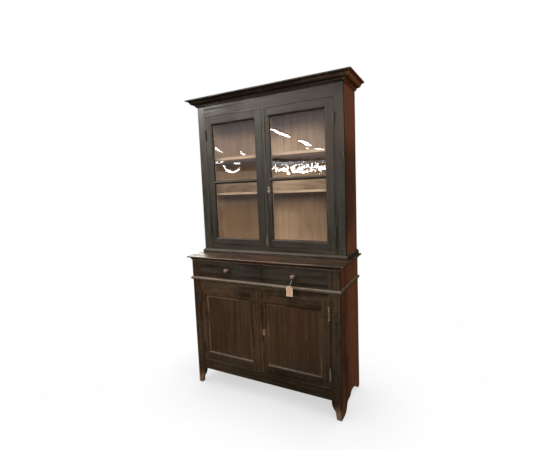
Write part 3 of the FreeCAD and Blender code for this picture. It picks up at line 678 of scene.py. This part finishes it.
def hall_lights():
    """Strip lights, a bright window with pale sky over it, and a pale ceiling, across the hall."""
    tube = lamp(40.0, 1.0, 14.0)
    window = lamp(34.0, 5.5, 11.0)
    haze = lamp(4.0, 1.6, 8.0, (0.70, 0.86, 1.0))
    far = lamp(22.0, 2.6, 13.0)
    strips = {
        "strip_light_a": (tube, [(0.044, 1.946, 0.010), (0.085, 1.926, 0.030), (0.130, 1.903, 0.036),
                                 (0.175, 1.886, 0.030), (0.206, 1.873, 0.012)]),
        "strip_light_b": (tube, [(0.268, 1.842, 0.014), (0.300, 1.826, 0.040), (0.330, 1.813, 0.036),
                                 (0.352, 1.805, 0.012)]),
        "strip_light_c": (far, [(0.318, 1.790, 0.018), (0.340, 1.782, 0.018)]),
        "strip_light_d": (tube, [(0.378, 1.780, 0.004), (0.410, 1.773, 0.012), (0.443, 1.766, 0.008)]),
        "strip_light_e": (tube, [(-0.470, 1.856, 0.010), (-0.440, 1.846, 0.024), (-0.415, 1.834, 0.024),
                                 (-0.384, 1.812, 0.008)]),
        "strip_light_f": (tube, [(-0.224, 1.808, 0.006), (-0.200, 1.794, 0.020), (-0.175, 1.780, 0.008)]),
        "strip_light_g": (far, [(-0.452, 1.753, 0.010), (-0.421, 1.737, 0.016), (-0.380, 1.756, 0.008)]),
        "strip_light_h": (far, [(-0.285, 1.730, 0.008), (-0.255, 1.727, 0.018), (-0.222, 1.727, 0.012)]),
        "strip_light_i": (far, [(-0.388, 1.726, 0.012), (-0.350, 1.683, 0.036), (-0.293, 1.662, 0.036),
                                (-0.225, 1.690, 0.022)]),
        "shop_window": (window, [(0.036, 1.672, 0.074), (0.145, 1.654, 0.080), (0.268, 1.652, 0.092),
                                 (0.343, 1.658, 0.096), (0.470, 1.648, 0.096)]),
        "shop_sky": (haze, [(0.036, 1.702, 0.080), (0.100, 1.700, 0.080), (0.170, 1.694, 0.060),
                            (0.460, 1.690, 0.040)]),
    }
    for name, (material, points) in strips.items():
        shown_in_glass(name, points, material)
    ceiling = glow(1.15, (0.93, 0.84, 0.83))
    shown_in_glass("pale_ceiling", [(-0.50, 1.88, 0.40), (0.0, 1.87, 0.42), (0.50, 1.86, 0.44)],
                   ceiling, depth=7.0)


# ---------------------------------------------------------------- the cabinet

upper_paint = dict(dark=(0.006, 0.006, 0.004), light=(0.027, 0.023, 0.016), brown=(0.034, 0.021, 0.014),
                   bare=(0.12, 0.072, 0.050))
lower_paint = dict(dark=(0.007, 0.004, 0.002), light=(0.030, 0.017, 0.007), brown=(0.050, 0.027, 0.012),
                   bare=(0.15, 0.092, 0.052))
drawer_paint = dict(dark=(0.006, 0.004, 0.002), light=(0.018, 0.0145, 0.009), brown=(0.034, 0.021, 0.012),
                    bare=(0.12, 0.074, 0.045))
cornice_paint = dict(dark=(0.006, 0.004, 0.003), light=(0.026, 0.017, 0.011), brown=(0.058, 0.032, 0.020),
                     bare=(0.13, 0.085, 0.058))
base_paint = dict(dark=(0.008, 0.006, 0.004), light=(0.023, 0.0175, 0.0125), brown=(0.031, 0.022, 0.015),
                  bare=(0.12, 0.085, 0.063))
waist_paint = dict(dark=(0.032, 0.025, 0.019), light=(0.105, 0.083, 0.064), brown=(0.13, 0.092, 0.066),
                   bare=(0.28, 0.20, 0.14))

upper_x = painted_wood("ebonised_wood_x", "X", **upper_paint, wear=0.4, seed=1.0)
upper_z = painted_wood("ebonised_wood_z", "Z", **upper_paint, wear=0.4, seed=3.0)
meeting_z = painted_wood("ebonised_astragal", "Z", **upper_paint, wear=0.5, seed=3.5,
                         rubs=[(-0.004, 1.140, 0.010, 0.045)])
cornice_x = painted_wood("ebonised_cornice", "X", **cornice_paint, wear=0.8, seed=4.0, rough=0.36)
lower_x = painted_wood("worn_ebonised_wood_x", "X", **lower_paint, wear=0.45, seed=5.0, thin=0.7, shaded_low_right=True)
lower_z = painted_wood("worn_ebonised_wood_z", "Z", **lower_paint, wear=0.3, seed=9.0, thin=0.9, shaded_low_right=True)
panel_z = painted_wood("worn_ebonised_panels", "Z", **lower_paint, wear=0.1, seed=11.0, thin=1.2, even=0.2,
                       shaded_low_right=True)
foot_z = painted_wood("worn_ebonised_feet", "Z", **lower_paint, wear=0.6, seed=9.0, thin=0.7, shaded_low_right=True,
                      foot_wear=True)
drawer_x = painted_wood("worn_ebonised_drawers", "X", **drawer_paint, wear=0.5, seed=7.0, even=0.05)
base_x = painted_wood("worn_moulding_x", "X", **base_paint, wear=1.0, seed=2.0, thin=0.8)
waist_x = painted_wood("worn_waist_x", "X", **waist_paint, wear=1.0, seed=2.5, thin=0.8)
pale_inside = ((0.35, 0.235, 0.16), (0.58, 0.445, 0.325))
side_z = side_wood("stained_side_wood", "Z", 1.0, (0.014, 0.005, 0.003), (0.205, 0.070, 0.030),
                   pale_inside)
return_y = side_wood("stained_return_wood", "Y", 4.0, (0.050, 0.018, 0.007), (0.28, 0.105, 0.040),
                     pale_inside)
bare_colors = dict(deep=(0.32, 0.21, 0.135), light=(0.53, 0.405, 0.29), stain=(0.19, 0.105, 0.058))
# A darker copy of the inside wood: painted shade for the underside of the top board, seen from below.
shaded_colors = dict(deep=(0.20, 0.145, 0.105), light=(0.36, 0.275, 0.205), stain=(0.11, 0.075, 0.05))
back_low, back_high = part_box("upper_back_boards")
back_board_width = (back_high.x - back_low.x) / 4
back_z = bare_wood("interior_back_boards", "Z", **bare_colors, seed=2.0, figure=0.09,
                   board_width=back_board_width, ring=0.03)
rail_x = bare_wood("interior_back_rail", "X", **bare_colors, seed=3.0, spots=0.08)
inner_x = bare_wood("interior_wood_x", "X", **bare_colors, seed=6.0, spots=0.04)
# Painted shade: the top board of the inside.
shaded_top_x = bare_wood("shaded_top_wood", "X", **shaded_colors, seed=8.0, spots=0.06)

finishes = {
    "upper_face_stiles": upper_z, "upper_face_rails": upper_x, "cornice_front": cornice_x,
    "upper_left_door_stiles": upper_z, "upper_right_door_stiles": upper_z,
    "upper_left_door_rails": upper_x, "upper_right_door_rails": upper_x, "upper_astragal": meeting_z,
    "lower_face_stiles": foot_z, "lower_apron": lower_x, "door_head_rail": lower_x,
    "drawer_top_rail": drawer_x, "drawer_divider": drawer_x, "left_drawer_front": drawer_x,
    "right_drawer_front": drawer_x, "lower_left_door_stiles": lower_z, "lower_left_door_rails": lower_x,
    "lower_left_panel": panel_z, "lower_right_door_stiles": lower_z, "lower_right_door_rails": lower_x,
    "lower_right_panel": panel_z, "lower_astragal": lower_z,
    "waist_moulding": waist_x, "upper_base_moulding": base_x,
    "upper_side_left": side_z, "upper_side_right": side_z, "lower_side_left": side_z,
    "lower_side_right": side_z, "cornice_returns": return_y, "counter_top": counter_wood(),
    "upper_top_board": shaded_top_x, "upper_bottom_board": inner_x, "upper_back_boards": back_z,
    "upper_shelves": inner_x, "shelf_battens": inner_x, "lower_bottom_board": inner_x,
    "lower_back_boards": back_z, "lower_shelf": inner_x, "drawer_runners": inner_x,
    "left_drawer_box": inner_x, "right_drawer_box": inner_x,
    "upper_left_glazing_beads": inner_x, "upper_right_glazing_beads": inner_x,
}
for node, finish in finishes.items():
    closely_joined = node.endswith("back_boards")
    aged(node, finish, rounding=0.0 if closely_joined else 0.0013,
         warp=0.0001 if node == "counter_top" else 0.0004)

# The back boards' node also holds the rail across the back, whose grain lies the other way.
back_boards = bpy.data.objects["upper_back_boards_finished"].data
back_boards.materials.append(rail_x)
rail_foot, rail_head, slack = 1.505, 1.622, 0.0001
for polygon in back_boards.polygons:
    if rail_foot - slack < polygon.center.z < rail_head + slack:
        polygon.material_index = 1

clear = old_glass()
panes = [rippled_glass(node, clear) for node in ("upper_left_glass", "upper_right_glass")]

kept = {
    "worn_iron": metal("worn_iron", (0.34, 0.32, 0.29), (0.07, 0.05, 0.038), 0.42,
                       painted=(0.022, 0.018, 0.014)),
    "old_brass": metal("old_brass", (0.42, 0.36, 0.28), (0.12, 0.085, 0.055), 0.4),
    "knob_wood": turned_wood("knob_wood", 3.0, (0.030, 0.018, 0.012), (0.12, 0.080, 0.056)),
    "tag_card": card(), "tag_string": string(),
}
for node, slot_name in slots.items():
    # Small fittings keep their CAD shape.
    if slot_name in kept:
        mesh = nodes[node].data
        mesh.materials.clear()
        mesh.materials.append(kept[slot_name])
        mesh.shade_smooth()
        mesh.set_sharp_from_angle(angle=radians(35))

floor()
camera()
world()
hall_lights()
all_but_glass = all_but(panes)
area_light("overhead", (0.2, -1.3, 3.9), (0, -0.2, 1.0), (3.2, 1.4), 50, all_but_glass)
area_light("hall", (3.0, -4.5, 3.0), (0, 0, 1.5), (3.6, 1.6), 250, all_but_glass)
area_light("high_left", (-3.2, -3.3, 3.6), (-0.3, 0, 1.9), (2.2, 1.0), 130, all_but_glass)
scene.view_settings.view_transform = "Standard"
bpy.context.view_layer.update()
